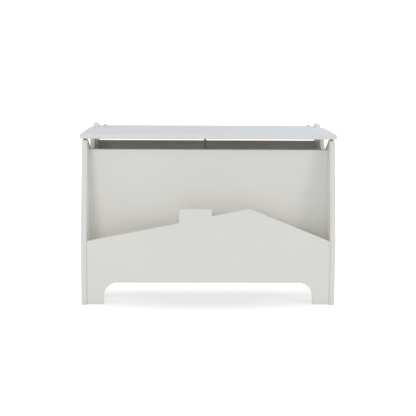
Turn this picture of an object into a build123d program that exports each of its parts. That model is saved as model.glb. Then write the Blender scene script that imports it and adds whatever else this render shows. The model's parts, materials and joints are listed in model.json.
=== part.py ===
from build123d import *
import math
import os

# Toy box with a lift-up lid and a house-shaped book pocket, in painted board.
# Millimetres. +Z is up, -Y is the front, +X is the right-hand side seen from the front.
# The origin is on the floor, under the middle of the bounding box.

# ---- Driving dimensions ----
CASE_WIDTH = 800.0            # outer face to outer face of the two side panels
CASE_DEPTH = 460.0            # side panels, front foot to back edge
LID_TOP = 535.0               # top face of the closed lid
SIDE_T = 18.0                 # side panel board
BOARD_T = 15.0                # every other board
SOFT_EDGE = 3.0               # rounding of the panels' top edges
SIDE_EDGE = 4.0               # rounding of the side panels' edges
LID_EDGE = 2.5                # rounding of the lid's edges
HOUSE_EDGE = 2.0              # rounding of the fascia's edges

# ---- Case ----
FRONT = -CASE_DEPTH / 2
BACK = CASE_DEPTH / 2
INNER_X = CASE_WIDTH / 2 - SIDE_T
LID_UNDER = LID_TOP - BOARD_T
POST_TOP = LID_UNDER - 4.0    # top of the side panels under the lid
EAVE_Z = 204.0                # where the side panels' front edges start to lean back
POST_FRONT = FRONT + 68.4     # front of the side panels at their top
PANEL_TOP = 483.0             # top edge of the front and back panels
PANEL_FRONT = FRONT + 106.0   # front face of the front panel
BACK_FRONT = BACK - 19.0      # inner face of the back panel
BACK_BOTTOM = 40.0
FLOOR_Z = 72.0                # underside of the floor board
FASCIA_LIFT = 3.0             # the fascia's feet stop short of the ground

# Scoop in the top edge of each side panel: top front, bottom front, bottom back, top back
SCOOP = [(FRONT + 104, POST_TOP), (FRONT + 184, 472.0), (FRONT + 290, 472.0), (FRONT + 340, POST_TOP)]
SCOOP_RADII = [14.0, 70.0, 45.0, 14.0]

# House skyline of the fascia, left eave to right eave
SKYLINE = [(-INNER_X, EAVE_Z), (-92.0, 261.5), (-92.0, 306.5), (10.0, 306.5), (10.0, 283.5),
           (129.0, 307.3), (INNER_X, EAVE_Z)]
SKYLINE_RADII = [0.0, 2.0, 4.0, 4.0, 2.0, 35.0, 0.0]
ARCH_HALF = 330.0
ARCH_TOP = 72.0
ARCH_RADIUS = 44.0

# ---- Hinges: one pin through the ear of each side panel ----
EAR_R = 18.0
EAR_FOOT_R = 11.0
PIN_Y = BACK - EAR_R
PIN_Z = LID_TOP - BOARD_T / 2
PIN_R = 4.0
PIN_LENGTH = 15.8
BUSH_R = 6.0
BUSH_IN = 14.0                # bush's length in the side panel
RUNNING = 0.05                # radial clearance of every running fit
PLATE_T = 2.0                 # steel strap on the side panel
FLANGE_T = 0.8                # bush flange
FLANGE_R = 8.5
EYE_PLATE_R = 13.0            # strap's eye round the bush
SIDE_GAP = 0.3                # between the bush flange and the lid's bracket
LEAF_T = 1.5                  # lid bracket
LID_EDGE_X = INNER_X - PLATE_T - FLANGE_T - SIDE_GAP - LEAF_T
BOLT_X = 360.0                # bolt that shows on top of the lid
PLATE_ELBOW = (BACK - 28, 492.0)
PLATE_END = (BACK - 112, 448.0)
PLATE_SCREWS = [(BACK - 31, 490.3), (BACK - 70, 470.0), (BACK - 108, 450.0)]

# ---- Lid ----
LID_HALF = CASE_WIDTH / 2 + 5.0
LID_FRONT = FRONT + 62.0
LID_BACK = BACK - 3.0
NOTCH_FRONT = BACK - 85.0     # the rear corners are notched round the ears

# ---- Gas strut, closed: from the pivot on the lid down to the pivot on the back panel ----
STRUT_X = -7.0
UPPER_PIVOT = (BACK - 66.0, 505.0)
LOWER_PIVOT = (BACK - 35.0, 333.0)
EYE_T = 5.0
EYE_R = 7.0
EYE_NECK_R = 4.0
EYE_REACH = 24.0              # pivot to the end of the eye's neck
EYE_FLAT = 13.0               # pivot to the end of the flat part, past the bracket's tab
EYE_SOLID = 14.0              # pivot to the bottom of the hole in the neck
PIVOT_BOLT_R = 3.0
PIVOT_HEAD_R = 5.0
PIVOT_HEAD_T = 2.6
ROD_R = 2.5
ROD_SHOWS = 10.0              # rod between the upper eye and the tube when closed
TUBE_R = 5.5
TUBE_BORE = 4.5
GUIDE_LENGTH = 12.0
PISTON_LENGTH = 8.0
TAB_NEAR = STRUT_X - EYE_T / 2 - 0.5    # bracket tab's face beside the eye
TAB_T = 2.0
TAB_R = 9.0                   # half width of the tab
BASE_WIDTH = 22.0             # bracket's screwed-down leaf
BASE_HALF = 20.0
BASE_SCREW = 13.0             # screw's distance from the pivot's middle line
OPEN_PIVOT_GAP = 0.4          # the lower pivot bolt stops short of its bracket

# ---- Fittings ----
CAM_R = 7.5
CAM_DEPTH = 12.5
CAM_SETBACK = 24.0            # cam centre from the board's end
CAM_BOLT_R = 3.0
CAM_HEAD_R = 3.5
THREAD_IN = 11.0
DOWEL_R = 4.0
DOWEL_SHORT = 10.0            # dowel in the face of a board
DOWEL_LONG = 20.0             # dowel in the end of a board
DOWEL_DEEP = 12.0             # dowel in the thicker side panel
CROSS_LENGTH = 8.0            # screwdriver slot in a cam
CROSS_WIDTH = 1.4
CROSS_DEPTH = 1.5
SCREW_R = 1.75
SCREW_HEAD_R = 3.4
SCREW_HEAD_T = 2.0
SCREW_LENGTH = 11.0
SCREW_DOME = 1.3              # rounding of a screw's head
PLATE_SCREW_IN = 13.0
LOWER_SCREW_R = 1.5
LID_BOLT_R = 2.5
LID_BOLT_HEAD_R = 5.4
LID_BOLT_HEAD_T = 4.5
NUT_T = 4.0
PIN_HEAD_R = 5.5
PIN_HEAD_T = 2.5
CAP_R = 9.0
CAP_T = 1.8
CAP_IN = 3.5                  # cap's plug in the ear
BUMPER_R = 5.5
BUMPER_GAP = 0.3              # between the bumper and the closed lid
PAST = 1.0                    # how far a cutter runs past the face that it cuts

os.makedirs("parts", exist_ok=True)


def outline(points, radii):
    """Flat closed outline, facing up, with its own rounding at each corner."""
    face = make_face(Polyline(*points, close=True))
    if face.face().normal_at().Z < 0:
        face = make_face(Polyline(*reversed(points), close=True))
    for (a, b), r in zip(points, radii):
        if r > 0:
            corner = face.vertices().sort_by_distance(Vector(a, b, 0))[0]
            face = fillet(corner, r)
    return face


def block(x0, x1, y0, y1, z0, z1):
    size = (x1 - x0, y1 - y0, z1 - z0)
    return Pos((x0 + x1) / 2, (y0 + y1) / 2, (z0 + z1) / 2) * Box(*size)


def rod_x(r, x0, x1, y, z):
    return Pos((x0 + x1) / 2, y, z) * Rot(0, 90, 0) * Cylinder(r, abs(x1 - x0))


def rod_y(r, x, y0, y1, z):
    return Pos(x, (y0 + y1) / 2, z) * Rot(90, 0, 0) * Cylinder(r, abs(y1 - y0))


def rod_z(r, x, y, z0, z1):
    return Pos(x, y, (z0 + z1) / 2) * Cylinder(r, abs(z1 - z0))


def mirrored(shape):
    return mirror(shape, about=Plane.YZ)


# ---- Where the boards are fastened ----
# Each board end is held to the side panel by cams and a dowel: y, z, and the side that the cam opens to
CAM_SPOTS = []
END_DOWEL_SPOTS = []
for y_mid, heights, dowel_z in ((FRONT + BOARD_T / 2, (45, 165), 110),
                                (PANEL_FRONT + BOARD_T / 2, (135, 440), 290),
                                (BACK_FRONT + BOARD_T / 2, (110, 440), 290)):
    for z in heights:
        CAM_SPOTS.append((y_mid, z, "back"))
    END_DOWEL_SPOTS.append((y_mid, dowel_z))
for y in (-160, 150):
    CAM_SPOTS.append((y, FLOOR_Z + BOARD_T / 2, "below"))
END_DOWEL_SPOTS.append((0, FLOOR_Z + BOARD_T / 2))
DOWEL_XS = (-250, 0, 250)


def cam_body(y, z, opens):
    """Round cam housing in the board, right-hand end."""
    x = INNER_X - CAM_SETBACK
    if opens == "back":
        return rod_y(CAM_R, x, y + BOARD_T / 2 - CAM_DEPTH, y + BOARD_T / 2, z)
    return rod_z(CAM_R, x, y, z - BOARD_T / 2, z - BOARD_T / 2 + CAM_DEPTH)


def cam_bolt(y, z):
    x = INNER_X - CAM_SETBACK
    thread = rod_x(CAM_BOLT_R, INNER_X, INNER_X + THREAD_IN, y, z)
    shank = rod_x(CAM_BOLT_R - 0.5, x + 2, INNER_X, y, z)
    head = rod_x(CAM_HEAD_R, x - 1, x + 2, y, z)
    return thread + shank + head


def cam(y, z, opens):
    """Cam with a bore for the bolt's head and a cross slot in its face."""
    x = INNER_X - CAM_SETBACK
    body = cam_body(y, z, opens) - rod_x(CAM_HEAD_R + 0.2, x - 1.5, x + CAM_R + PAST, y, z)
    for length, width in ((CROSS_LENGTH, CROSS_WIDTH), (CROSS_WIDTH, CROSS_LENGTH)):
        x0, x1 = x - length / 2, x + length / 2
        if opens == "back":
            face_y = y + BOARD_T / 2
            body -= block(x0, x1, face_y - CROSS_DEPTH, face_y + PAST, z - width / 2, z + width / 2)
        else:
            face_z = z - BOARD_T / 2
            body -= block(x0, x1, y - width / 2, y + width / 2, face_z - PAST, face_z + CROSS_DEPTH)
    return body


def end_dowel(y, z):
    return rod_x(DOWEL_R, INNER_X - DOWEL_LONG, INNER_X + DOWEL_DEEP, y, z)


def floor_dowels():
    mid_z = FLOOR_Z + BOARD_T / 2
    top_z = FLOOR_Z + BOARD_T
    pegs = []
    for x in DOWEL_XS:
        pegs.append(rod_z(DOWEL_R, x, PANEL_FRONT + BOARD_T / 2, top_z - DOWEL_SHORT, top_z + DOWEL_LONG))
        pegs.append(rod_y(DOWEL_R, x, FRONT + BOARD_T - DOWEL_SHORT, FRONT + BOARD_T + DOWEL_LONG, mid_z))
        pegs.append(rod_y(DOWEL_R, x, BACK_FRONT - DOWEL_LONG, BACK_FRONT + DOWEL_SHORT, mid_z))
    return pegs


def both_ends(shape):
    return [shape, mirrored(shape)]


CAMS = [s for spot in CAM_SPOTS for s in both_ends(cam(*spot))]
CAM_BOLTS = [s for y, z, _ in CAM_SPOTS for s in both_ends(cam_bolt(y, z))]
END_DOWELS = [s for y, z in END_DOWEL_SPOTS for s in both_ends(end_dowel(y, z))]
FLOOR_DOWELS = floor_dowels()


def drilled_board(board):
    """Cuts the cam, bolt and dowel bores of one board that runs between the sides."""
    cuts = []
    for y, z, opens in CAM_SPOTS:
        x = INNER_X - CAM_SETBACK
        cuts += both_ends(cam_body(y, z, opens))
        cuts += both_ends(rod_x(CAM_HEAD_R, x, INNER_X, y, z))
    near = [c for c in cuts + END_DOWELS + FLOOR_DOWELS if board.distance_to(c) < 0.01]
    return board - near


# ---- Case boards ----
def side_outline():
    """Leaning front edge, post, scoop, rear shoulder and the ear round the hinge pin."""
    points = [(FRONT, 0), (FRONT, EAVE_Z), (POST_FRONT, POST_TOP)] + SCOOP + [(BACK, POST_TOP), (BACK, 0)]
    radii = [0, 120.0, 10.0] + SCOOP_RADII + [0, 0]
    ear = Pos(PIN_Y, PIN_Z) * Circle(EAR_R)
    neck = Pos(PIN_Y, POST_TOP) * Rectangle(2 * EAR_R, 2 * (PIN_Z - POST_TOP))
    shape = outline(points, radii) + ear + neck
    ear_foot = shape.vertices().sort_by_distance(Vector(PIN_Y - EAR_R, POST_TOP, 0))[0]
    return fillet(ear_foot, EAR_FOOT_R)


def runs_along_rim(edge):
    return abs(edge.tangent_at(0.5).X) < 0.5


def side_panel():
    """Right-hand side panel."""
    panel = Pos(INNER_X, 0, 0) * extrude(Plane.YZ * side_outline(), SIDE_T, dir=(1, 0, 0))
    rim = [e for e in panel.edges() if runs_along_rim(e) and e.center().Z > 1]
    back_edge = [e for e in rim if e.center().Y > BACK - 0.5 and e.center().Z < PIN_Z - 1]
    panel = fillet([e for e in rim if e not in back_edge], SIDE_EDGE)
    panel -= rod_x(BUSH_R, INNER_X - PAST, INNER_X + SIDE_T + PAST, PIN_Y, PIN_Z)
    for y, z, _ in CAM_SPOTS:
        panel -= rod_x(CAM_BOLT_R, INNER_X, INNER_X + THREAD_IN, y, z)
    for y, z in END_DOWEL_SPOTS:
        panel -= rod_x(DOWEL_R, INNER_X, INNER_X + DOWEL_DEEP, y, z)
    for y, z in PLATE_SCREWS:
        panel -= rod_x(SCREW_R, INNER_X, INNER_X + PLATE_SCREW_IN, y, z)
    return panel


def house_fascia():
    """Front board of the book pocket: a roof line with a chimney above, a foot arch below."""
    points = [(-INNER_X, FASCIA_LIFT)] + SKYLINE + [(INNER_X, FASCIA_LIFT)]
    house = outline(points, [0] + SKYLINE_RADII + [0])
    arch = Pos(0, FASCIA_LIFT) * Rectangle(2 * ARCH_HALF, 2 * (ARCH_TOP - FASCIA_LIFT))
    arch = fillet(arch.vertices().group_by(Axis.Y)[-1], ARCH_RADIUS)
    front_plane = Plane(origin=(0, FRONT + BOARD_T, 0), x_dir=(1, 0, 0), z_dir=(0, -1, 0))
    board = extrude(front_plane * (house - arch), BOARD_T, dir=(0, -1, 0))
    soft = [e for e in board.edges()
            if abs(e.tangent_at(0.5).Y) < 0.5 and abs(e.center().X) < INNER_X - 1
            and e.center().Z > FASCIA_LIFT + 0.5]
    return drilled_board(fillet(soft, HOUSE_EDGE))


def front_panel():
    board = block(-INNER_X, INNER_X, PANEL_FRONT, PANEL_FRONT + BOARD_T, FLOOR_Z + BOARD_T, PANEL_TOP)
    board = fillet(board.edges().filter_by(Axis.X).group_by(Axis.Z)[-1], SOFT_EDGE)
    return drilled_board(board)


def floor_panel():
    board = block(-INNER_X, INNER_X, FRONT + BOARD_T, BACK_FRONT, FLOOR_Z, FLOOR_Z + BOARD_T)
    return drilled_board(board)


def back_panel():
    board = block(-INNER_X, INNER_X, BACK_FRONT, BACK_FRONT + BOARD_T, BACK_BOTTOM, PANEL_TOP)
    board = fillet(board.edges().filter_by(Axis.X).group_by(Axis.Z)[-1], SOFT_EDGE)
    board = drilled_board(board)
    for x, z in LOWER_SCREWS:
        board -= rod_y(LOWER_SCREW_R, x, BACK_FRONT, BACK_FRONT + SCREW_LENGTH, z)
    return board


# ---- Hinges, right-hand side ----
def strap_leg(start, end, width):
    middle = ((start[0] + end[0]) / 2, (start[1] + end[1]) / 2)
    angle = math.degrees(math.atan2(end[1] - start[1], end[0] - start[0]))
    return Plane.YZ * Pos(*middle) * Rot(0, 0, angle) * SlotCenterToCenter(math.dist(start, end), width)


def hinge_plate():
    """Bent steel strap on the side panel's inner face, with an eye round the hinge bush."""
    eye = Plane.YZ * Pos(PIN_Y, PIN_Z) * Circle(EYE_PLATE_R)
    flat = eye + strap_leg((PIN_Y, PIN_Z), PLATE_ELBOW, 15.0) + strap_leg(PLATE_ELBOW, PLATE_END, 13.0)
    plate = Pos(INNER_X, 0, 0) * extrude(flat, PLATE_T, dir=(-1, 0, 0))
    plate -= rod_x(BUSH_R, INNER_X - PLATE_T - PAST, INNER_X + PAST, PIN_Y, PIN_Z)
    for y, z in PLATE_SCREWS:
        plate -= rod_x(SCREW_R, INNER_X - PLATE_T - PAST, INNER_X + PAST, y, z)
    return plate


def plate_screws():
    screws = []
    for y, z in PLATE_SCREWS:
        face_x = INNER_X - PLATE_T
        head = rod_x(SCREW_HEAD_R, face_x - SCREW_HEAD_T, face_x, y, z)
        head = fillet(head.edges().group_by(Axis.X)[0], SCREW_DOME)
        screws.append(head + rod_x(SCREW_R, face_x, INNER_X + PLATE_SCREW_IN, y, z))
    return screws


def hinge_bush():
    """Flanged nylon bush pressed into the ear."""
    flange_x = INNER_X - PLATE_T - FLANGE_T
    bush = rod_x(FLANGE_R, flange_x, flange_x + FLANGE_T, PIN_Y, PIN_Z)
    bush += rod_x(BUSH_R, flange_x, INNER_X + BUSH_IN, PIN_Y, PIN_Z)
    return bush - rod_x(PIN_R + RUNNING, flange_x - PAST, INNER_X + BUSH_IN + PAST, PIN_Y, PIN_Z)


def pin_cap():
    """Push-in cover over the bush, on the outside of the ear."""
    outer = INNER_X + SIDE_T
    disc = fillet(rod_x(CAP_R, outer, outer + CAP_T, PIN_Y, PIN_Z).edges().group_by(Axis.X)[-1], 1.2)
    return disc + rod_x(BUSH_R, outer - CAP_IN, outer, PIN_Y, PIN_Z)


def hinge_pin():
    """Pin riveted through the lid bracket; its head sits in the lid's end."""
    head = rod_x(PIN_HEAD_R, LID_EDGE_X - PIN_HEAD_T, LID_EDGE_X, PIN_Y, PIN_Z)
    shank = rod_x(PIN_R, LID_EDGE_X, LID_EDGE_X + PIN_LENGTH, PIN_Y, PIN_Z)
    return head + chamfer(shank.edges().group_by(Axis.X)[-1], 0.8)


LID_BOLT = (BOLT_X, PIN_Y + 1.0)
BRACKET_SCREWS = [(BOLT_X, PIN_Y - 27.0), (BOLT_X - 15.0, PIN_Y - 13.0)]


def lid_bracket():
    """Angle bracket: one leaf under the lid, one up the lid's end, with the pin's hole."""
    outer_x = LID_EDGE_X + LEAF_T
    flat = block(BOLT_X - 23, outer_x, PIN_Y - 37, LID_BACK - 2, LID_UNDER - LEAF_T, LID_UNDER)
    flat = fillet(flat.edges().filter_by(Axis.Z).group_by(Axis.X)[0], 6.0)
    upright = block(LID_EDGE_X, outer_x, PIN_Y - 14, LID_BACK - 2, LID_UNDER - LEAF_T, LID_TOP - 1)
    upright = fillet(upright.edges().filter_by(Axis.X).group_by(Axis.Z)[-1], 5.0)
    bracket = flat + upright
    bracket -= rod_x(PIN_R, LID_EDGE_X - PAST, outer_x + PAST, PIN_Y, PIN_Z)
    bracket -= rod_z(LID_BOLT_R, *LID_BOLT, LID_UNDER - LEAF_T - PAST, LID_UNDER + PAST)
    for x, y in BRACKET_SCREWS:
        bracket -= rod_z(SCREW_R, x, y, LID_UNDER - LEAF_T - PAST, LID_UNDER + PAST)
    return bracket


def lid_bolt():
    """Round-headed bolt down through the lid and its bracket."""
    x, y = LID_BOLT
    head = rod_z(LID_BOLT_HEAD_R, x, y, LID_TOP, LID_TOP + LID_BOLT_HEAD_T)
    head = fillet(head.edges().group_by(Axis.Z)[-1], 3.6)
    return head + rod_z(LID_BOLT_R, x, y, LID_UNDER - LEAF_T - NUT_T - PAST, LID_TOP)


def lid_nut():
    x, y = LID_BOLT
    top = LID_UNDER - LEAF_T
    nut = Pos(x, y, top - NUT_T / 2) * extrude(RegularPolygon(4.6, 6), NUT_T / 2, both=True)
    return nut - rod_z(LID_BOLT_R, x, y, top - NUT_T - PAST, top + PAST)


def under_screw(x, y, under):
    """Pan-head screw driven up from below; under is the face that its head bears on."""
    head = rod_z(SCREW_HEAD_R, x, y, under - SCREW_HEAD_T, under)
    head = fillet(head.edges().group_by(Axis.Z)[0], SCREW_DOME)
    return head + rod_z(SCREW_R, x, y, under, under + SCREW_LENGTH)


# ---- Lid ----
def notched_board():
    """Lid board with its rear corners cut away round the ears."""
    board = block(-LID_HALF, LID_HALF, LID_FRONT, LID_BACK, LID_UNDER, LID_TOP)
    for side in (-1, 1):
        x0, x1 = sorted((side * LID_EDGE_X, side * (LID_HALF + PAST)))
        board -= block(x0, x1, NOTCH_FRONT, BACK, LID_UNDER - PAST, LID_TOP + PAST)
    outer = [e for e in board.edges().filter_by(Axis.Z) if abs(e.center().X) > LID_HALF - 1]
    board = fillet(outer, 5.0)
    inner = [e for e in board.edges().filter_by(Axis.Z)
             if abs(abs(e.center().X) - LID_EDGE_X) < 0.1 and abs(e.center().Y - NOTCH_FRONT) < 0.1]
    return fillet(inner, 6.0)


def is_open_rim(edge):
    """True for the lid's edges away from the hinge brackets and the straight back."""
    c = edge.center()
    flat = abs(c.Z - LID_TOP) < 0.1 or abs(c.Z - LID_UNDER) < 0.1
    by_bracket = abs(abs(c.X) - LID_EDGE_X) < 0.5 and c.Y > NOTCH_FRONT + 7
    return flat and not by_bracket and c.Y < LID_BACK - 1


def lid():
    board = notched_board()
    board = fillet([e for e in board.edges() if is_open_rim(e)], LID_EDGE)
    for side in (-1, 1):
        x0, x1 = sorted((side * (LID_EDGE_X - PIN_HEAD_T), side * LID_EDGE_X))
        board -= rod_x(PIN_HEAD_R, x0, x1, PIN_Y, PIN_Z)
        board -= rod_z(LID_BOLT_R, side * LID_BOLT[0], LID_BOLT[1], LID_UNDER - PAST, LID_TOP + PAST)
        for x, y in BRACKET_SCREWS:
            board -= rod_z(SCREW_R, side * x, y, LID_UNDER, LID_UNDER + SCREW_LENGTH - LEAF_T)
    for x, y in UPPER_SCREWS:
        board -= rod_z(SCREW_R, x, y, LID_UNDER, LID_UNDER + SCREW_LENGTH - TAB_T)
    return board


def bumper(y):
    """Soft rubber button on top of a side panel, right-hand side; it stops just under the lid."""
    x = INNER_X + SIDE_T / 2
    button = rod_z(BUMPER_R, x, y, POST_TOP, LID_UNDER - BUMPER_GAP)
    return fillet(button.edges().group_by(Axis.Z)[-1], 1.8)


# ---- Gas strut ----
SCREW_X = TAB_NEAR - 14
UPPER_SCREWS = [(SCREW_X, UPPER_PIVOT[0] + step) for step in (-BASE_SCREW, BASE_SCREW)]
LOWER_SCREWS = [(SCREW_X, LOWER_PIVOT[1] + step) for step in (-BASE_SCREW, BASE_SCREW)]
STRUT_AXIS = Plane(origin=(STRUT_X, UPPER_PIVOT[0], UPPER_PIVOT[1]), x_dir=(1, 0, 0),
                   z_dir=(0, LOWER_PIVOT[0] - UPPER_PIVOT[0], LOWER_PIVOT[1] - UPPER_PIVOT[1]))
STRUT_LENGTH = math.dist(UPPER_PIVOT, LOWER_PIVOT)
TUBE_START = EYE_REACH + ROD_SHOWS
TUBE_END = STRUT_LENGTH - EYE_REACH
PISTON_END = TUBE_END - 7.0


def along(r, s0, s1):
    """Cylinder on the strut's axis, from s0 to s1 below the upper pivot."""
    return Pos(0, 0, (s0 + s1) / 2) * Cylinder(r, s1 - s0)


def strut_eye():
    """Flat eye with a round neck that points down the strut, drilled for the rod."""
    eye = Rot(0, 90, 0) * Cylinder(EYE_R, EYE_T)
    eye += Pos(0, 0, EYE_FLAT / 2) * Box(EYE_T, EYE_R * 1.1, EYE_FLAT)
    eye += along(EYE_NECK_R, EYE_FLAT - PAST, EYE_REACH)
    eye -= Rot(0, 90, 0) * Cylinder(PIVOT_BOLT_R + RUNNING, EYE_T + 2 * PAST)
    return eye - along(ROD_R, EYE_SOLID, EYE_REACH)


def pivot_bolt(y, z, end_x):
    """Domed bolt through the eye; its shank runs along -X to end_x."""
    head_x = STRUT_X + EYE_T / 2 + 0.3
    head = rod_x(PIVOT_HEAD_R, head_x, head_x + PIVOT_HEAD_T, y, z)
    head = fillet(head.edges().group_by(Axis.X)[-1], 1.8)
    return head + rod_x(PIVOT_BOLT_R, end_x, head_x, y, z)


def tab_nut(y, z):
    """Hex nut on the far side of a bracket's tab."""
    far = TAB_NEAR - TAB_T
    nut = extrude(RegularPolygon(5.6, 6), NUT_T / 2, both=True)
    return Pos(far - NUT_T / 2, y, z) * Rot(0, 90, 0) * nut


def upper_bracket():
    y, z = UPPER_PIVOT
    base_x = TAB_NEAR - BASE_WIDTH
    base = block(base_x, TAB_NEAR, y - BASE_HALF, y + BASE_HALF, LID_UNDER - TAB_T, LID_UNDER)
    tab = block(TAB_NEAR - TAB_T, TAB_NEAR, y - TAB_R, y + TAB_R, z - TAB_R, LID_UNDER)
    tab = fillet(tab.edges().filter_by(Axis.X).group_by(Axis.Z)[0], 6.0)
    bracket = base + tab - rod_x(PIVOT_BOLT_R, TAB_NEAR - TAB_T - PAST, TAB_NEAR + PAST, y, z)
    for sx, sy in UPPER_SCREWS:
        bracket -= rod_z(SCREW_R, sx, sy, LID_UNDER - TAB_T - PAST, LID_UNDER + PAST)
    return bracket


def lower_bracket():
    y, z = LOWER_PIVOT
    base_x = TAB_NEAR - BASE_WIDTH
    base = block(base_x, TAB_NEAR, BACK_FRONT - TAB_T, BACK_FRONT, z - BASE_HALF, z + BASE_HALF)
    tab = block(TAB_NEAR - TAB_T, TAB_NEAR, y - TAB_R, BACK_FRONT, z - TAB_R, z + TAB_R)
    tab = fillet(tab.edges().filter_by(Axis.X).group_by(Axis.Y)[0], 6.0)
    bracket = base + tab
    for sx, sz in LOWER_SCREWS:
        bracket -= rod_y(LOWER_SCREW_R, sx, BACK_FRONT - TAB_T - PAST, BACK_FRONT + PAST, sz)
    return bracket


def lower_screw(x, z):
    face_y = BACK_FRONT - TAB_T
    head = rod_y(SCREW_HEAD_R, x, face_y - SCREW_HEAD_T, face_y, z)
    head = fillet(head.edges().group_by(Axis.Y)[0], SCREW_DOME)
    return head + rod_y(LOWER_SCREW_R, x, face_y, BACK_FRONT + SCREW_LENGTH, z)


def strut_tube():
    """Pressure tube with a closed lower end and the spigot for the lower eye."""
    tube = fillet(along(TUBE_R, TUBE_START, TUBE_END).edges(), 1.5)
    tube -= along(TUBE_BORE, TUBE_START - PAST, TUBE_END - 3)
    return STRUT_AXIS * (tube + along(ROD_R, TUBE_END - PAST, STRUT_LENGTH - EYE_SOLID))


def strut_guide():
    ring = along(TUBE_BORE, TUBE_START, TUBE_START + GUIDE_LENGTH)
    bore = along(ROD_R + RUNNING, TUBE_START - PAST, TUBE_START + GUIDE_LENGTH + PAST)
    return STRUT_AXIS * (ring - bore)


def strut_rod():
    return STRUT_AXIS * along(ROD_R, EYE_SOLID, PISTON_END)


def strut_piston():
    ring = along(TUBE_BORE - RUNNING, PISTON_END - PISTON_LENGTH, PISTON_END)
    return STRUT_AXIS * (ring - along(ROD_R, PISTON_END - PISTON_LENGTH - PAST, PISTON_END + PAST))


# ---- Write one file for each separate sub-part ----
def left_and_right(name, shape):
    return {name + "_right": shape, name + "_left": mirrored(shape)}


def group(shapes):
    return Compound(children=[s for shape in shapes for s in shape.solids()])


bracket_screws = [under_screw(x, y, LID_UNDER - LEAF_T) for x, y in BRACKET_SCREWS]
nodes = {}
nodes.update(left_and_right("side_panel", side_panel()))
nodes["house_fascia"] = house_fascia()
nodes["front_panel"] = front_panel()
nodes["floor_panel"] = floor_panel()
nodes["back_panel"] = back_panel()
nodes["lid"] = lid()
nodes.update(left_and_right("hinge_plate", hinge_plate()))
nodes.update(left_and_right("hinge_bush", hinge_bush()))
nodes.update(left_and_right("pin_cap", pin_cap()))
nodes.update(left_and_right("lid_bracket", lid_bracket()))
nodes.update(left_and_right("hinge_pin", hinge_pin()))
nodes["hinge_plate_screws"] = group([s for p in plate_screws() for s in both_ends(p)])
nodes["lid_bolts"] = group(both_ends(lid_bolt()))
nodes["lid_bolt_nuts"] = group(both_ends(lid_nut()))
nodes["lid_bracket_screws"] = group([s for p in bracket_screws for s in both_ends(p)])
nodes["lid_bumpers"] = group([s for y in (POST_FRONT + 18, BACK - 96) for s in both_ends(bumper(y))])
nodes["strut_tube"] = strut_tube()
nodes["strut_guide"] = strut_guide()
nodes["strut_rod"] = strut_rod()
nodes["strut_piston"] = strut_piston()
nodes["strut_eye_upper"] = STRUT_AXIS * strut_eye()
nodes["strut_eye_lower"] = STRUT_AXIS * (Pos(0, 0, STRUT_LENGTH) * Rot(180, 0, 0) * strut_eye())
nodes["pivot_bolt_upper"] = pivot_bolt(*UPPER_PIVOT, TAB_NEAR - TAB_T - NUT_T - PAST)
nodes["pivot_bolt_lower"] = pivot_bolt(*LOWER_PIVOT, TAB_NEAR + OPEN_PIVOT_GAP)
nodes["pivot_nut_upper"] = tab_nut(*UPPER_PIVOT) - nodes["pivot_bolt_upper"]
nodes["pivot_nut_lower"] = tab_nut(*LOWER_PIVOT)
nodes["strut_bracket_upper"] = upper_bracket()
nodes["strut_bracket_lower"] = lower_bracket()
nodes["strut_screws_upper"] = group([under_screw(x, y, LID_UNDER - TAB_T) for x, y in UPPER_SCREWS])
nodes["strut_screws_lower"] = group([lower_screw(x, z) for x, z in LOWER_SCREWS])
nodes["cam_locks"] = group(CAMS)
nodes["cam_bolts"] = group(CAM_BOLTS)
nodes["end_dowels"] = group(END_DOWELS)
nodes["floor_dowels"] = group(FLOOR_DOWELS)

for name, shape in nodes.items():
    export_step(shape, "parts/" + name + ".step")
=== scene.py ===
import json
import math

import bmesh
import bpy
from mathutils import Matrix, Vector


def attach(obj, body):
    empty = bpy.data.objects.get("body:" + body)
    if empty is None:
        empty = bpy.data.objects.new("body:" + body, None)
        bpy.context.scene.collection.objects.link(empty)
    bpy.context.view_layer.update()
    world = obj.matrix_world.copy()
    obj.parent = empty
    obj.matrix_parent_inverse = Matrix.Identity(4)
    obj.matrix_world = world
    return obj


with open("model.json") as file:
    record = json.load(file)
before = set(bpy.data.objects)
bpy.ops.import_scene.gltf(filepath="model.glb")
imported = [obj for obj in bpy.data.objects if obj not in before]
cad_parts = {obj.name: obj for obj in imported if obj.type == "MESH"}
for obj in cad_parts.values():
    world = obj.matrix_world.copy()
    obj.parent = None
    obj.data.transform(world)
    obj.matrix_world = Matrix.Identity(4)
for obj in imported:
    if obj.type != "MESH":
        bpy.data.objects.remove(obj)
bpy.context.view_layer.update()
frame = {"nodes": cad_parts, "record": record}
nodes = frame["nodes"]

# Lengths are in metres, angles in degrees and lights in watts.

# ---- Camera ----
CAMERA_AT = Vector((-0.0495, -3.118, 0.7752))
CAMERA_DOWN = 9.13            # pitch below the horizon
CAMERA_RIGHT = 0.938          # turned towards +X
CAMERA_ROLL = -0.30
SENSOR = 36.0
FOCAL = 81.3

# ---- Paint: tones ----
PAINT_LOW = (0.783, 0.774, 0.732)
PAINT_HIGH = (0.808, 0.799, 0.758)
PAINT_SHADE = (0.738, 0.726, 0.678)
PAINT_RUBBED = (0.850, 0.840, 0.795)
SCUFF = (0.330, 0.325, 0.315)
FLOOR_DIRT = (0.300, 0.280, 0.250)

# ---- Paint: noise textures, each with scale, detail and roughness ----
CLOUD = (3.0, 3.0, 0.5)       # slow drift of tone
BLOTCH = (22.0, 4.0, 0.6)
PEEL = (520.0, 2.0, 0.55)     # orange peel
WAVE = (60.0, 2.0, 0.5)       # slow unevenness of the sprayed coat
RUB = (34.0, 5.0, 0.7)        # where the edges are worn
STREAK = (1.0, 4.0, 0.65)     # scuff lines, drawn out by the stretch below
STREAK_STRETCH = (24, 24, 420)
PATCH = (5.0, 2.0, 0.5)       # where the scuffs gather
SPECK = (140.0, 5.0, 0.7)     # grains of floor dirt

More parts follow.
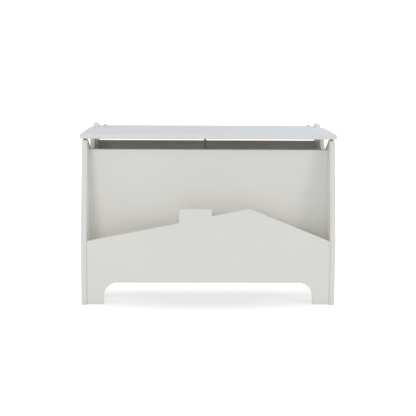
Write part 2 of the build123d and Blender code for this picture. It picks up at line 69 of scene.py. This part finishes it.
# ---- Paint: ranges, each from low and high to low and high ----
CLOUD_SPAN = (0.3, 0.7)
BLOTCH_RANGE = (0.45, 0.75, 0.0, 0.10)
RUB_RANGE = (0.48, 0.66, 0.10, 0.55)
STREAK_RANGE = (0.66, 0.74, 0.0, 0.12)
PATCH_RANGE = (0.52, 0.62, 0.0, 1.0)
DIRT_HEIGHT = (0.030, 0.0, 0.0, 1.0)      # height above the floor
SPECK_RANGE = (0.40, 0.70, 0.02, 0.16)
GLOSS_RANGE = (0.3, 0.7, 0.36, 0.46)      # roughness of the sound paint
EDGE_LEAN = (0.97, 0.80, 0.0, 1.0)        # cosine between the rounded and the true normal
EDGE_RADIUS = 0.0016
EDGE_SAMPLES = 6
WORN_ROUGHNESS = 0.30         # added where the paint is worn or scuffed
WAVE_HEIGHT = 2.0             # height of the wave, with the orange peel as 1
PAINT_RELIEF = 0.0005
PAINT_BUMP = 0.12
PAINT_SPECULAR = 0.40
PAINT_COAT = 0.10
PAINT_COAT_ROUGHNESS = 0.30

# ---- Metal, plastic and beech ----
METAL_NOISE = (4.0, 0.6)      # detail and roughness
METAL_SHADE = 0.86            # darkest tone, as a share of the full one
MOULD_SHADE = 0.9
MOULD_NOISE = (900.0, 2.0, 0.5)
MOULD_BUMP = 0.08
MOULD_RELIEF = 0.0002
BEECH_GRAIN = (1.0, 5.0, 0.65)
BEECH_STRETCH = (40, 320, 320)
BEECH_DARK = (0.42, 0.27, 0.15)
BEECH_LIGHT = (0.68, 0.49, 0.31)
BEECH_ROUGHNESS = 0.62

# ---- Driver recesses, drawn as painted shade: a thin near-black cross on each screw head ----
RECESS_LENGTH = 0.0036
RECESS_WIDTH = 0.0010
RECESS_RISE = 0.00006
RECESS_TAPER = 0.6            # arm's width at its end, as a share of the width at the middle
RECESS_DRAFT = 0.94           # top face, as a share of the bottom one
# Node, body, axis that the heads face along, and whether they face the box's middle
SCREWS_WITH_PAINTED_SHADE = (
    ("hinge_plate_screws", "case", 0, True),
    ("lid_bracket_screws", "lid", 2, False),
    ("strut_screws_upper", "lid", 2, False),
    ("strut_screws_lower", "case", 1, False),
)

# ---- Floor: its colour, and its glow by distance from the middle, by Y and by distance to either side; the glow's changes are painted shadow and painted light ----
FLOOR_SIZE = 60.0
FLOOR_TONE = (0.66, 0.67, 0.69)
FLOOR_ROUGHNESS = 0.9
FLOOR_SPECULAR = 0.1
# Glow near the box is weaker: a painted soft shadow round it
GLOW_NEAR = 0.45
GLOW_FAR = 0.85
GLOW_SPREAD = (0.22, 0.85)    # from near to far
PAINTED_LIGHT_UNDER_BOX = 0.32           # painted light under the box's back half, as if from behind
PAINTED_LIGHT_RISE = (-0.10, 0.01)
PAINTED_LIGHT_FALL = (0.22, 0.12)
PAINTED_SHADOW_DIP = 0.08               # painted soft shadow just in front of the box
DIP_RISE = (-0.14, -0.20)
DIP_FALL = (-0.34, -0.25)
GLOW_SIDES = (0.42, 0.32)     # the last two fade out past the feet

# ---- Sky and lights ----
SKY_SEEN = 1.12
SKY_LIGHT = 0.56
SKY_TINT = (0.96, 0.99, 1.03)
SHEEN_LIGHT = 0.72
SHEEN_TINT = (0.83, 0.90, 1.06)
DIFFUSE_BOUNCES = 10
# Name, place, aim, size, power, colour, and whether it shows in reflections
LIGHTS = (
    ("key", (5.0, -4.0, 3.3), (0, 0, 0.3), (2.4, 2.4), 99, (1.0, 0.955, 0.920), False),
    ("fill", (-1.9, -4.6, 1.7), (0, 0, 0.3), (1.5, 1.5), 46, (1.0, 0.958, 0.920), False),
    ("top", (1.2, 0.2, 1.65), (0.1, 0, 0.5), (1.0, 1.0), 5.0, (0.66, 0.80, 1.25), True),
    ("rear", (0.3, 3.9, 1.6), (0, 0, 0.4), (4.4, 1.6), 50, (1.0, 0.98, 0.94), False),
    ("left", (-3.4, -1.0, 1.3), (0, 0, 0.4), (2.0, 2.0), 16, (1.0, 0.99, 0.97), True),
    ("right", (3.4, -0.6, 1.8), (0, 0, 0.4), (2.0, 2.0), 6, (1.0, 0.99, 0.97), True),
)


def make_camera():
    """Long lens, a little left of the middle and above the lid."""
    down, turn, roll = (math.radians(v) for v in (CAMERA_DOWN, CAMERA_RIGHT, CAMERA_ROLL))
    forward = Vector((math.sin(turn) * math.cos(down), math.cos(turn) * math.cos(down), -math.sin(down)))
    right = Vector((math.cos(turn), -math.sin(turn), 0))
    up = right.cross(forward)
    tilted_right = right * math.cos(roll) - up * math.sin(roll)
    tilted_up = right * math.sin(roll) + up * math.cos(roll)
    data = bpy.data.cameras.new("camera")
    data.sensor_width = SENSOR
    data.lens = FOCAL
    camera = bpy.data.objects.new("camera", data)
    axes = Matrix((tilted_right, tilted_up, -forward)).transposed()
    camera.matrix_world = Matrix.Translation(CAMERA_AT) @ axes.to_4x4()
    bpy.context.scene.collection.objects.link(camera)
    bpy.context.scene.camera = camera


# ---- Shader helpers ----
def new_material(name):
    material = bpy.data.materials.new(name)
    material.use_nodes = True
    tree = material.node_tree
    return material, tree, tree.nodes["Principled BSDF"]


def node(tree, kind, **values):
    made = tree.nodes.new(kind)
    for key, value in values.items():
        if key in made.inputs:
            made.inputs[key].default_value = value
        else:
            setattr(made, key, value)
    return made


def object_place(tree):
    return node(tree, "ShaderNodeTexCoord").outputs["Object"]


def value_ramp(tree, source, low, high, colour_low, colour_high):
    """Colour ramp between two tones over part of a factor's range."""
    ramp = node(tree, "ShaderNodeValToRGB")
    first, last = ramp.color_ramp.elements
    first.position, last.position = low, high
    first.color, last.color = (*colour_low, 1), (*colour_high, 1)
    tree.links.new(source, ramp.inputs["Fac"])
    return ramp.outputs["Color"]


def blend_colour(tree, factor, under, over):
    mix = node(tree, "ShaderNodeMix", data_type="RGBA")
    tree.links.new(factor, mix.inputs[0])
    for value, socket in ((under, mix.inputs[6]), (over, mix.inputs[7])):
        if isinstance(value, tuple):
            socket.default_value = (*value, 1)
        else:
            tree.links.new(value, socket)
    return mix.outputs[2]


def map_range(tree, source, low, high, to_low, to_high):
    made = node(tree, "ShaderNodeMapRange",
                **{"From Min": low, "From Max": high, "To Min": to_low, "To Max": to_high})
    tree.links.new(source, made.inputs["Value"])
    return made.outputs["Result"]


def combine(tree, kind, a, b=0.0):
    made = node(tree, "ShaderNodeMath", operation=kind)
    for value, socket in ((a, made.inputs[0]), (b, made.inputs[1])):
        if isinstance(value, float):
            socket.default_value = value
        else:
            tree.links.new(value, socket)
    return made.outputs[0]


def noise(tree, place, scale, detail, roughness, stretch=None):
    made = node(tree, "ShaderNodeTexNoise", Scale=scale, Detail=detail, Roughness=roughness)
    source = place
    if stretch:
        mapping = node(tree, "ShaderNodeMapping", Scale=stretch)
        tree.links.new(place, mapping.inputs["Vector"])
        source = mapping.outputs["Vector"]
    tree.links.new(source, made.inputs["Vector"])
    return made.outputs["Fac"]


def edge_mask(tree):
    """Rounded normal from the bevel node, and how far it leans from the true one: high on edges only."""
    bevel = node(tree, "ShaderNodeBevel", Radius=EDGE_RADIUS, samples=EDGE_SAMPLES)
    true = node(tree, "ShaderNodeNewGeometry")
    dot = node(tree, "ShaderNodeVectorMath", operation="DOT_PRODUCT")
    tree.links.new(bevel.outputs["Normal"], dot.inputs[0])
    tree.links.new(true.outputs["Normal"], dot.inputs[1])
    return bevel.outputs["Normal"], map_range(tree, dot.outputs["Value"], *EDGE_LEAN)


# ---- Materials ----
def painted_board():
    """Sprayed satin lacquer on fibreboard: orange peel, slight tone drift, pale rubs on the edges,
    a few scuffs, and a little floor dirt low down."""
    material, tree, shader = new_material("painted_board")
    link = tree.links.new
    shader.inputs["Specular IOR Level"].default_value = PAINT_SPECULAR
    shader.inputs["Coat Weight"].default_value = PAINT_COAT
    shader.inputs["Coat Roughness"].default_value = PAINT_COAT_ROUGHNESS
    place = object_place(tree)
    rounded, edges = edge_mask(tree)

    tone = value_ramp(tree, noise(tree, place, *CLOUD), *CLOUD_SPAN, PAINT_LOW, PAINT_HIGH)
    blotch = map_range(tree, noise(tree, place, *BLOTCH), *BLOTCH_RANGE)
    tone = blend_colour(tree, blotch, tone, PAINT_SHADE)

    rub = map_range(tree, noise(tree, place, *RUB), *RUB_RANGE)
    worn = combine(tree, "MULTIPLY", edges, rub)
    tone = blend_colour(tree, worn, tone, PAINT_RUBBED)

    streak = map_range(tree, noise(tree, place, *STREAK, STREAK_STRETCH), *STREAK_RANGE)
    patch = map_range(tree, noise(tree, place, *PATCH), *PATCH_RANGE)
    marks = combine(tree, "MULTIPLY", streak, patch)
    tone = blend_colour(tree, marks, tone, SCUFF)

    split = node(tree, "ShaderNodeSeparateXYZ")
    link(place, split.inputs["Vector"])
    low = map_range(tree, split.outputs["Z"], *DIRT_HEIGHT)
    speck = map_range(tree, noise(tree, place, *SPECK), *SPECK_RANGE)
    tone = blend_colour(tree, combine(tree, "MULTIPLY", low, speck), tone, FLOOR_DIRT)
    link(tone, shader.inputs["Base Color"])

    wave = noise(tree, place, *WAVE)
    spent = combine(tree, "MULTIPLY", combine(tree, "ADD", worn, marks), WORN_ROUGHNESS)
    gloss = combine(tree, "ADD", map_range(tree, wave, *GLOSS_RANGE), spent)
    link(gloss, shader.inputs["Roughness"])

    relief = combine(tree, "ADD", noise(tree, place, *PEEL), combine(tree, "MULTIPLY", wave, WAVE_HEIGHT))
    bump = node(tree, "ShaderNodeBump", Strength=PAINT_BUMP, Distance=PAINT_RELIEF)
    link(relief, bump.inputs["Height"])
    link(rounded, bump.inputs["Normal"])
    link(bump.outputs["Normal"], shader.inputs["Normal"])
    return material


def mottle(tree, shader, grain, colour, shade, rough_low, rough_high):
    """Tone and roughness that both follow one noise; shade is the darkest tone's share of the colour."""
    dark = tuple(channel * shade for channel in colour)
    tree.links.new(blend_colour(tree, grain, dark, colour), shader.inputs["Base Color"])
    tree.links.new(map_range(tree, grain, 0.0, 1.0, rough_low, rough_high), shader.inputs["Roughness"])


def metal(name, colour, rough_low, rough_high, scale, metallic=1.0):
    """Plated, cast, polished or lacquered metal with fine uneven gloss."""
    material, tree, shader = new_material(name)
    shader.inputs["Metallic"].default_value = metallic
    grain = noise(tree, object_place(tree), scale, *METAL_NOISE)
    mottle(tree, shader, grain, colour, METAL_SHADE, rough_low, rough_high)
    return material


def moulded(name, colour, rough_low, rough_high):
    """Moulded plastic or rubber with a fine spark-eroded texture."""
    material, tree, shader = new_material(name)
    grain = noise(tree, object_place(tree), *MOULD_NOISE)
    mottle(tree, shader, grain, colour, MOULD_SHADE, rough_low, rough_high)
    bump = node(tree, "ShaderNodeBump", Strength=MOULD_BUMP, Distance=MOULD_RELIEF)
    tree.links.new(grain, bump.inputs["Height"])
    tree.links.new(bump.outputs["Normal"], shader.inputs["Normal"])
    return material


def beech():
    """Raw turned beech with short grain flecks."""
    material, tree, shader = new_material("beech_dowel")
    shader.inputs["Roughness"].default_value = BEECH_ROUGHNESS
    grain = noise(tree, object_place(tree), *BEECH_GRAIN, BEECH_STRETCH)
    tree.links.new(value_ramp(tree, grain, 0.0, 1.0, BEECH_DARK, BEECH_LIGHT), shader.inputs["Base Color"])
    return material


# Colour, then lowest and highest roughness; metals have the noise's scale as well
MATERIALS = {
    "painted_board": painted_board(),
    "zinc_steel": metal("zinc_steel", (0.74, 0.745, 0.75), 0.30, 0.46, 240.0),
    "cast_zinc": metal("cast_zinc", (0.50, 0.51, 0.53), 0.40, 0.55, 500.0),
    "chromed_rod": metal("chromed_rod", (0.50, 0.53, 0.52), 0.08, 0.14, 90.0),
    "grey_tube": metal("grey_tube", (0.62, 0.71, 0.73), 0.22, 0.32, 150.0, metallic=0.0),
    "white_nylon": moulded("white_nylon", (0.78, 0.78, 0.75), 0.35, 0.48),
    "black_rubber": moulded("black_rubber", (0.028, 0.028, 0.028), 0.60, 0.78),
    "beech_dowel": beech(),
}
# Near-black metal of the crosses: painted shade where each driver recess would fall into shadow
PAINTED_RECESS_SHADE = metal("painted_recess_shade", (0.05, 0.05, 0.055), 0.45, 0.60, 900.0)


def dress_cad_nodes():
    for entry in frame["record"]["subparts"]:
        piece = nodes[entry["node"]]
        piece.data.materials.clear()
        piece.data.materials.append(MATERIALS[entry["material_slot"]])


# ---- Painted shade of the driver recesses: a thin near-black cross on each screw head ----
def islands(mesh):
    """Lowest and highest corner of each separate solid in a mesh; points a micrometre apart are one."""
    keys = [tuple(round(c, 6) for c in vertex.co) for vertex in mesh.vertices]
    parent = {key: key for key in keys}

    def root(key):
        while parent[key] != key:
            parent[key] = parent[parent[key]]
            key = parent[key]
        return key

    for face in mesh.polygons:
        first = root(keys[face.vertices[0]])
        for index in face.vertices[1:]:
            parent[root(keys[index])] = first
    groups = {}
    for key in sorted(parent):
        groups.setdefault(root(key), []).append(key)
    boxes = []
    for points in groups.values():
        low = Vector([min(p[i] for p in points) for i in range(3)])
        high = Vector([max(p[i] for p in points) for i in range(3)])
        boxes.append((low, high))
    return boxes


def add_cross(mesh, centre, outward):
    """Very thin plate in the shape of a cross with tapered arms, lying on a screw head's flat: painted
    shade for a driver recess, with no hollow cut.
    """
    turn = outward.to_track_quat("Z", "Y").to_matrix()
    half, waist = RECESS_LENGTH / 2, RECESS_WIDTH / 2
    quarter = [(half, -waist * RECESS_TAPER), (half, waist * RECESS_TAPER), (waist, waist)]
    outline = []
    for step in range(4):
        cos, sin = math.cos(step * math.pi / 2), math.sin(step * math.pi / 2)
        outline += [(x * cos - y * sin, x * sin + y * cos) for x, y in quarter]
    rings = []
    for rise, shrink in ((-RECESS_RISE, 1.0), (RECESS_RISE, RECESS_DRAFT)):
        rings.append([mesh.verts.new(centre + turn @ Vector((x * shrink, y * shrink, rise)))
                      for x, y in outline])
    for index in range(len(outline)):
        after = (index + 1) % len(outline)
        mesh.faces.new((rings[0][index], rings[0][after], rings[1][after], rings[1][index]))
    mesh.faces.new(list(reversed(rings[0])))
    mesh.faces.new(rings[1])


def paint_recess_shade(node_name, body, axis, inwards):
    """One piece with a near-black cross, the painted shade of a driver recess, on the head of every screw
    of a node.
    """
    mesh = bmesh.new()
    for low, high in islands(nodes[node_name].data):
        middle = (low + high) / 2
        side = -math.copysign(1.0, middle[axis]) if inwards else -1.0
        centre = middle.copy()
        centre[axis] = low[axis] if side < 0 else high[axis]
        outward = Vector((0, 0, 0))
        outward[axis] = side
        add_cross(mesh, centre, outward)
    data = bpy.data.meshes.new(node_name + "_painted_recess_shade")
    mesh.to_mesh(data)
    mesh.free()
    piece = bpy.data.objects.new(node_name + "_painted_recess_shade", data)
    piece.data.materials.append(PAINTED_RECESS_SHADE)
    bpy.context.scene.collection.objects.link(piece)
    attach(piece, body)


# ---- Floor, sky and lights ----
def make_floor():
    """Lit white table that also glows. Its glow is weaker round the box, a painted soft shadow, stronger
    under the box's back half, painted light, and a little weaker again just in front of the box, a painted
    shadow."""
    material, tree, shader = new_material("studio_floor")
    shader.inputs["Base Color"].default_value = (*FLOOR_TONE, 1)
    shader.inputs["Emission Color"].default_value = (1.0, 1.0, 1.0, 1)
    shader.inputs["Roughness"].default_value = FLOOR_ROUGHNESS
    shader.inputs["Specular IOR Level"].default_value = FLOOR_SPECULAR
    place = object_place(tree)
    length = node(tree, "ShaderNodeVectorMath", operation="LENGTH")
    tree.links.new(place, length.inputs[0])
    glow = map_range(tree, length.outputs["Value"], *GLOW_SPREAD, GLOW_NEAR, GLOW_FAR)
    split = node(tree, "ShaderNodeSeparateXYZ")
    tree.links.new(place, split.inputs["Vector"])
    x, y = split.outputs["X"], split.outputs["Y"]

    def band(rise, fall, strength):
        up = map_range(tree, y, *rise, 0.0, strength)
        return combine(tree, "MULTIPLY", up, map_range(tree, y, *fall, 0.0, 1.0))

    # Painted light under the box's back half, less a painted shadow just in front of it
    painted_light = band(PAINTED_LIGHT_RISE, PAINTED_LIGHT_FALL, PAINTED_LIGHT_UNDER_BOX)
    painted_light_and_shadow = combine(tree, "SUBTRACT", painted_light, band(DIP_RISE, DIP_FALL, PAINTED_SHADOW_DIP))
    inside = map_range(tree, combine(tree, "ABSOLUTE", x), *GLOW_SIDES, 0.0, 1.0)
    painted_light_and_shadow = combine(tree, "MULTIPLY", painted_light_and_shadow, inside)
    tree.links.new(combine(tree, "ADD", glow, painted_light_and_shadow), shader.inputs["Emission Strength"])

    mesh = bpy.data.meshes.new("floor")
    half = FLOOR_SIZE / 2
    corners = [(-half, -half, 0), (half, -half, 0), (half, half, 0), (-half, half, 0)]
    mesh.from_pydata(corners, [], [(0, 1, 2, 3)])
    floor = bpy.data.objects.new("floor", mesh)
    floor.data.materials.append(material)
    bpy.context.scene.collection.objects.link(floor)
    floor.visible_diffuse = False


def make_sky():
    """White backdrop all round. The light that it sheds is softer and nearly neutral, and the sky that
    shows in reflections is cooler."""
    world = bpy.data.worlds.new("studio")
    bpy.context.scene.world = world
    world.use_nodes = True
    tree = world.node_tree
    shed = tree.nodes["Background"]
    shed.inputs["Color"].default_value = (*SKY_TINT, 1)
    shed.inputs["Strength"].default_value = SKY_LIGHT
    mirrored = node(tree, "ShaderNodeBackground", Color=(*SHEEN_TINT, 1), Strength=SHEEN_LIGHT)
    seen = node(tree, "ShaderNodeBackground", Color=(1, 1, 1, 1), Strength=SKY_SEEN)
    ray = node(tree, "ShaderNodeLightPath")
    mixed = shed.outputs[0]
    for flag, other in (("Is Glossy Ray", mirrored), ("Is Camera Ray", seen)):
        mix = node(tree, "ShaderNodeMixShader")
        tree.links.new(ray.outputs[flag], mix.inputs[0])
        tree.links.new(mixed, mix.inputs[1])
        tree.links.new(other.outputs[0], mix.inputs[2])
        mixed = mix.outputs[0]
    tree.links.new(mixed, tree.nodes["World Output"].inputs["Surface"])


def area_light(name, at, aim, size, power, colour, mirrored):
    data = bpy.data.lights.new(name, "AREA")
    data.shape = "RECTANGLE"
    data.size, data.size_y = size
    data.energy = power
    data.color = colour
    lamp = bpy.data.objects.new(name, data)
    lamp.location = at
    lamp.rotation_mode = "QUATERNION"
    lamp.rotation_quaternion = (Vector(aim) - Vector(at)).to_track_quat("-Z", "Y")
    lamp.visible_camera = False
    lamp.visible_glossy = mirrored
    bpy.context.scene.collection.objects.link(lamp)


make_camera()
dress_cad_nodes()
# Near-black crosses on the screw heads: painted shade for the driver recesses
for screws in SCREWS_WITH_PAINTED_SHADE:
    paint_recess_shade(*screws)
make_floor()
make_sky()
for light in LIGHTS:
    area_light(*light)

bpy.context.scene.view_settings.view_transform = "Standard"
bpy.context.scene.cycles.diffuse_bounces = DIFFUSE_BOUNCES
